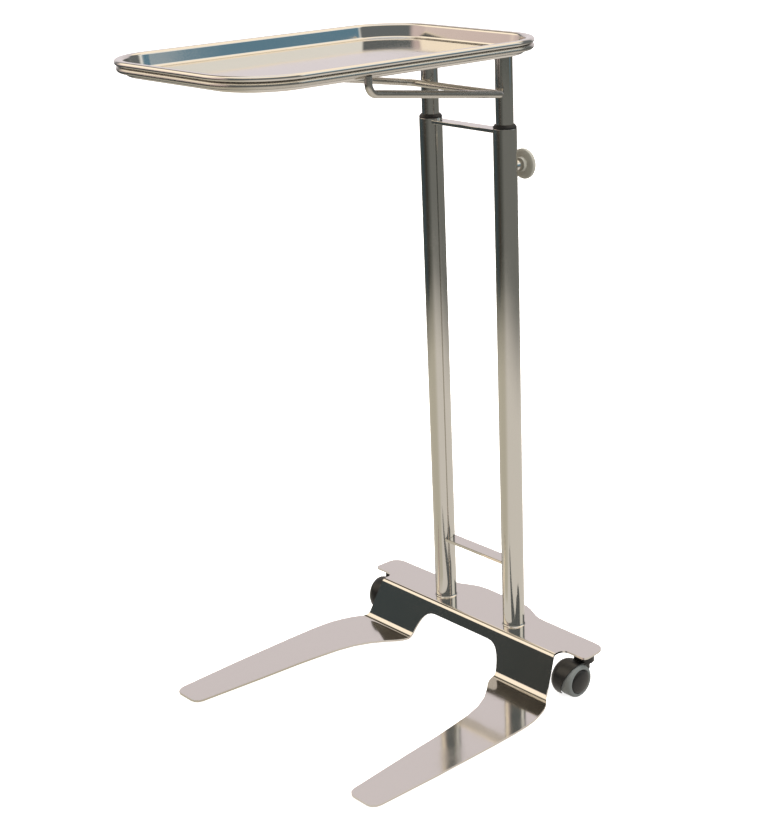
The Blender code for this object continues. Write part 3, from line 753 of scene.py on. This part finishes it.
# Where each part of the room lies: its direction, the cosines at its soft edge and at its
# full light, its colour and its strength. Later ones lie over earlier ones.
ROOM = (
    ((0, 0, 1), -0.03, 0.06, "#74797A", 1.0),              # walls above the horizon
    ((-0.69, -0.70, 0.12), 0.70, 0.88, "#E6D2CC", 1.0),    # pale wall to the left
    ((-0.69, 0.68, 0.25), 0.72, 0.90, "#EAE2E4", 1.0),     # light backdrop behind the stand
    ((0.66, 0.66, 0.42), 0.93, 0.975, "#F6F5EE", 1.25),    # a light blind above the window wall
    ((0.74, 0.65, 0.17), 0.968, 0.992, "#6A8FA3", 1.0),    # a bluish window wall
    ((0, 0, 1), 0.60, 0.68, "#FFF1DA", 1.35),              # warm ceiling light
    ((-0.65, 0.02, 0.76), 0.94, 0.975, "#4F4A42", 1.0),    # a dark beam across it
    ((-0.70, -0.42, 0.58), 0.90, 0.955, "#FFF1DA", 1.45),  # warm lamp below the beam
    ((0, 0, 1), 0.86, 0.97, "#FFFFFF", 1.0))               # ceiling overhead


def emitter(name, build):
    """A material that only glows, with the colour that build links to it."""
    material = bpy.data.materials.new(name)
    material.use_nodes = True
    tree = material.node_tree
    tree.nodes.clear()
    out = add(material, "ShaderNodeOutputMaterial")
    glow = add(material, "ShaderNodeEmission")
    tree.links.new(glow.outputs["Emission"], out.inputs["Surface"])
    build(material, tree, glow)
    return material


def room_light(material, tree, glow):
    """The parts of the room, laid one over the other by the direction they are seen in."""
    where = add(material, "ShaderNodeTexCoord")
    unit = add(material, "ShaderNodeVectorMath", [(0, where, "Object")], operation="NORMALIZE")
    light = add(material, "ShaderNodeRGB")
    light.outputs["Color"].default_value = linear(ROOM_BASE)
    for towards, edge, full, colour, strength in ROOM:
        near = add(material, "ShaderNodeVectorMath", [(0, unit, "Vector")],
                   operation="DOT_PRODUCT")
        near.inputs[1].default_value = Vector(towards).normalized()
        amount = add(material, "ShaderNodeMapRange", [("Value", near, "Value")],
                     interpolation_type="SMOOTHSTEP", From_Min=edge, From_Max=full)
        light = add(material, "ShaderNodeMixRGB",
                    [("Fac", amount, "Result"), ("Color1", light, "Color")],
                    Color2=linear(colour, strength))
    tree.links.new(light.outputs["Color"], glow.inputs["Color"])


def reflected_only(obj):
    """Part of the studio, seen in reflections and left out of the view and the shadows."""
    obj.visible_camera = False
    obj.visible_shadow = False


ROOM_RADIUS = 7.0   # metres
deselect()
bpy.ops.mesh.primitive_uv_sphere_add(segments=48, ring_count=24, radius=ROOM_RADIUS)
room = bpy.context.object
room.name = "room_dome"
room.data.materials.append(emitter("Room", room_light))
reflected_only(room)


# %% [markdown]
# The posts and the web mirror the floor, because the eye looks down on them. It is
# brightest close to the stand and fades to grey further out. To the left it is a little
# darker and warmer, and quite dark far out. A disc just below the floor that the camera
# sees glows with that, again for reflections only.

# %% The pool of bright floor
POOL_RADIUS = 6.0               # metres
POOL_DROP = 4 * MM              # below the floor's zero
POOL_FADE = (1.15, 2.3)         # metres from the stand, from full light to grey
POOL_LEFT = (-0.707, -0.707, 0)
POOL_TURN = (0.1, 0.9)          # cosines towards the left, from plain to the warmer tone


def pool_light(material, tree, glow):
    """Bright, then grey with distance, and warmer and darker to the left."""
    where = add(material, "ShaderNodeTexCoord")
    reach = add(material, "ShaderNodeVectorMath", [(0, where, "Object")], operation="LENGTH")
    away = add(material, "ShaderNodeMapRange", [("Value", reach, "Value")],
               interpolation_type="SMOOTHSTEP", From_Min=POOL_FADE[0], From_Max=POOL_FADE[1])
    unit = add(material, "ShaderNodeVectorMath", [(0, where, "Object")], operation="NORMALIZE")
    side = add(material, "ShaderNodeVectorMath", [(0, unit, "Vector")], operation="DOT_PRODUCT")
    side.inputs[1].default_value = POOL_LEFT
    left = add(material, "ShaderNodeMapRange", [("Value", side, "Value")],
               interpolation_type="SMOOTHSTEP", From_Min=POOL_TURN[0], From_Max=POOL_TURN[1])
    far_left = add(material, "ShaderNodeMath", [(0, away, "Result"), (1, left, "Result")],
                   operation="MULTIPLY")
    near_tone = add(material, "ShaderNodeMixRGB", [("Fac", left, "Result")],
                    Color1=linear("#E9E2D8"), Color2=linear("#CFC8B6"))
    far_tone = add(material, "ShaderNodeMixRGB",
                   [("Fac", away, "Result"), ("Color1", near_tone, "Color")],
                   Color2=linear("#7D7D78"))
    tone = add(material, "ShaderNodeMixRGB",
               [("Fac", far_left, "Value"), ("Color1", far_tone, "Color")],
               Color2=linear("#4A4B46"))
    tree.links.new(tone.outputs["Color"], glow.inputs["Color"])


deselect()
bpy.ops.mesh.primitive_circle_add(vertices=96, radius=POOL_RADIUS, fill_type="NGON",
                                  location=(0, 0, -POOL_DROP))
pool = bpy.context.object
pool.name = "bright_floor_pool"
pool.data.materials.append(emitter("Floor pool", pool_light))
reflected_only(pool)


# %% [markdown]
# The web, the upright part of the base between the top plate and the legs, mirrors
# something low and dark in front of the stand, bluish at one end and brown at the other. A
# part of the dome could be dark there, but it would be too far off to hide the bright floor.
# So an upright plane stands close by, at the front left, with two colours mixed along it.

# %% The low dark screen
SCREEN_AT = (-1.25, -1.05, 0.33)    # metres
SCREEN_SIZE = (2.4, 0.60, 1)        # metres long and high


def screen_light(material, tree, glow):
    """Bluish at one end and brown at the other."""
    where = add(material, "ShaderNodeTexCoord")
    split = add(material, "ShaderNodeSeparateXYZ", [("Vector", where, "Object")])
    along = add(material, "ShaderNodeMapRange", [("Value", split, "X")],
                From_Min=-1.0, From_Max=1.0)
    tone = add(material, "ShaderNodeMixRGB", [("Fac", along, "Result")],
               Color1=linear("#43545A"), Color2=linear("#443E35"))
    tree.links.new(tone.outputs["Color"], glow.inputs["Color"])


deselect()
bpy.ops.mesh.primitive_plane_add(size=1, location=SCREEN_AT,
                                 rotation=(math.radians(90), 0, math.radians(-45)))
screen = bpy.context.object
screen.name = "low_dark_screen"
screen.scale = SCREEN_SIZE
bpy.ops.object.transform_apply(location=False, rotation=False, scale=True)
screen.data.materials.append(emitter("Dark screen", screen_light))
reflected_only(screen)


# %% [markdown]
# The floor that the camera sees is a plain matt white, lifted by a glow of its own so that
# it keeps only soft shadows and runs into the white world without a horizon. It is left out
# of reflections and of bounced light, because the dome and the pool give those.

# %% Floor and white world
FLOOR_SIZE = 40         # metres
FLOOR_DROP = 2 * MM
FLOOR_GLOW = 0.80
WHITE = (1, 1, 1, 1)
floor_material, floor_shader = new_material("Matt white studio floor", "#FFFFFF", 0.0, 0.9)
floor_shader.inputs["Emission Color"].default_value = WHITE
floor_shader.inputs["Emission Strength"].default_value = FLOOR_GLOW
deselect()
bpy.ops.mesh.primitive_plane_add(size=FLOOR_SIZE, location=(0, 0, -FLOOR_DROP))
floor = bpy.context.object
floor.name = "studio_floor"
floor.data.materials.append(floor_material)
floor.visible_glossy = False
floor.visible_diffuse = False

world = bpy.context.scene.world or bpy.data.worlds.new("World")
bpy.context.scene.world = world
world.use_nodes = True
background = world.node_tree.nodes["Background"]
background.inputs["Color"].default_value = WHITE
background.inputs["Strength"].default_value = 1.0


# %% [markdown]
# Three big soft lamps, above, at the side and beyond the stand, model the black nylon, the
# grey rubber and the knob, which reflect little. They are kept out of reflections, so the
# steel shows only the room.

# %% Soft lamps
def softbox(name, place, target, size, power):
    """A white area lamp of that size in metres and power in watts, aimed at a point."""
    data = bpy.data.lights.new(name, "AREA")
    data.shape = "RECTANGLE"
    data.size, data.size_y = size
    data.energy = power
    lamp = bpy.data.objects.new(name, data)
    bpy.context.scene.collection.objects.link(lamp)
    lamp.location = place
    lamp.rotation_euler = (Vector(target) - Vector(place)).to_track_quat("-Z", "Y").to_euler()
    lamp.visible_glossy = False


softbox("top_bank", (0.0, 0.0, 3.6), (0, 0, 0), (3.6, 3.6), 90)
softbox("side_bank", (3.4, 0.8, 1.9), (0, 0.1, 0.5), (1.2, 2.4), 55)
softbox("far_bank", (-2.6, 2.2, 2.2), (0, 0.1, 0.5), (2.0, 2.0), 45)
print("lamps:", len(bpy.data.lights))


# %% [markdown]
# The camera stands a little above the tray, at the near right corner, with a long lens. Its
# matrix is built from its heading, its downward pitch and a small roll.

# %% Camera
HEADING, PITCH, ROLL = (math.radians(a) for a in (45.850, 19.080, -1.369))
BEFORE_POSTS = 1.49578      # metres, from the plane of the posts forward to the camera
CAMERA_AT = (1.55805, post_y - BEFORE_POSTS, 1.14041)
LENS = 70.54                # mm
SHIFT = (-0.1196, -0.0236)  # the view moved left and down, in parts of its longer side
FAR_CLIP = 60               # metres
ahead = Vector((-math.sin(HEADING) * math.cos(PITCH), math.cos(HEADING) * math.cos(PITCH),
                -math.sin(PITCH)))
across = Vector((math.cos(HEADING), math.sin(HEADING), 0))
upward = across.cross(ahead)
right = across * math.cos(ROLL) + upward * math.sin(ROLL)
above = -across * math.sin(ROLL) + upward * math.cos(ROLL)
turn = Matrix((right, above, -ahead)).transposed()
camera_data = bpy.data.cameras.new("camera")
camera_data.lens = LENS
camera_data.shift_x, camera_data.shift_y = SHIFT
camera_data.clip_end = FAR_CLIP
camera = bpy.data.objects.new("camera", camera_data)
bpy.context.scene.collection.objects.link(camera)
camera.matrix_world = Matrix.Translation(Vector(CAMERA_AT)) @ turn.to_4x4()
bpy.context.scene.camera = camera
bpy.context.scene.view_settings.view_transform = "Standard"
bpy.context.scene.view_settings.look = "None"
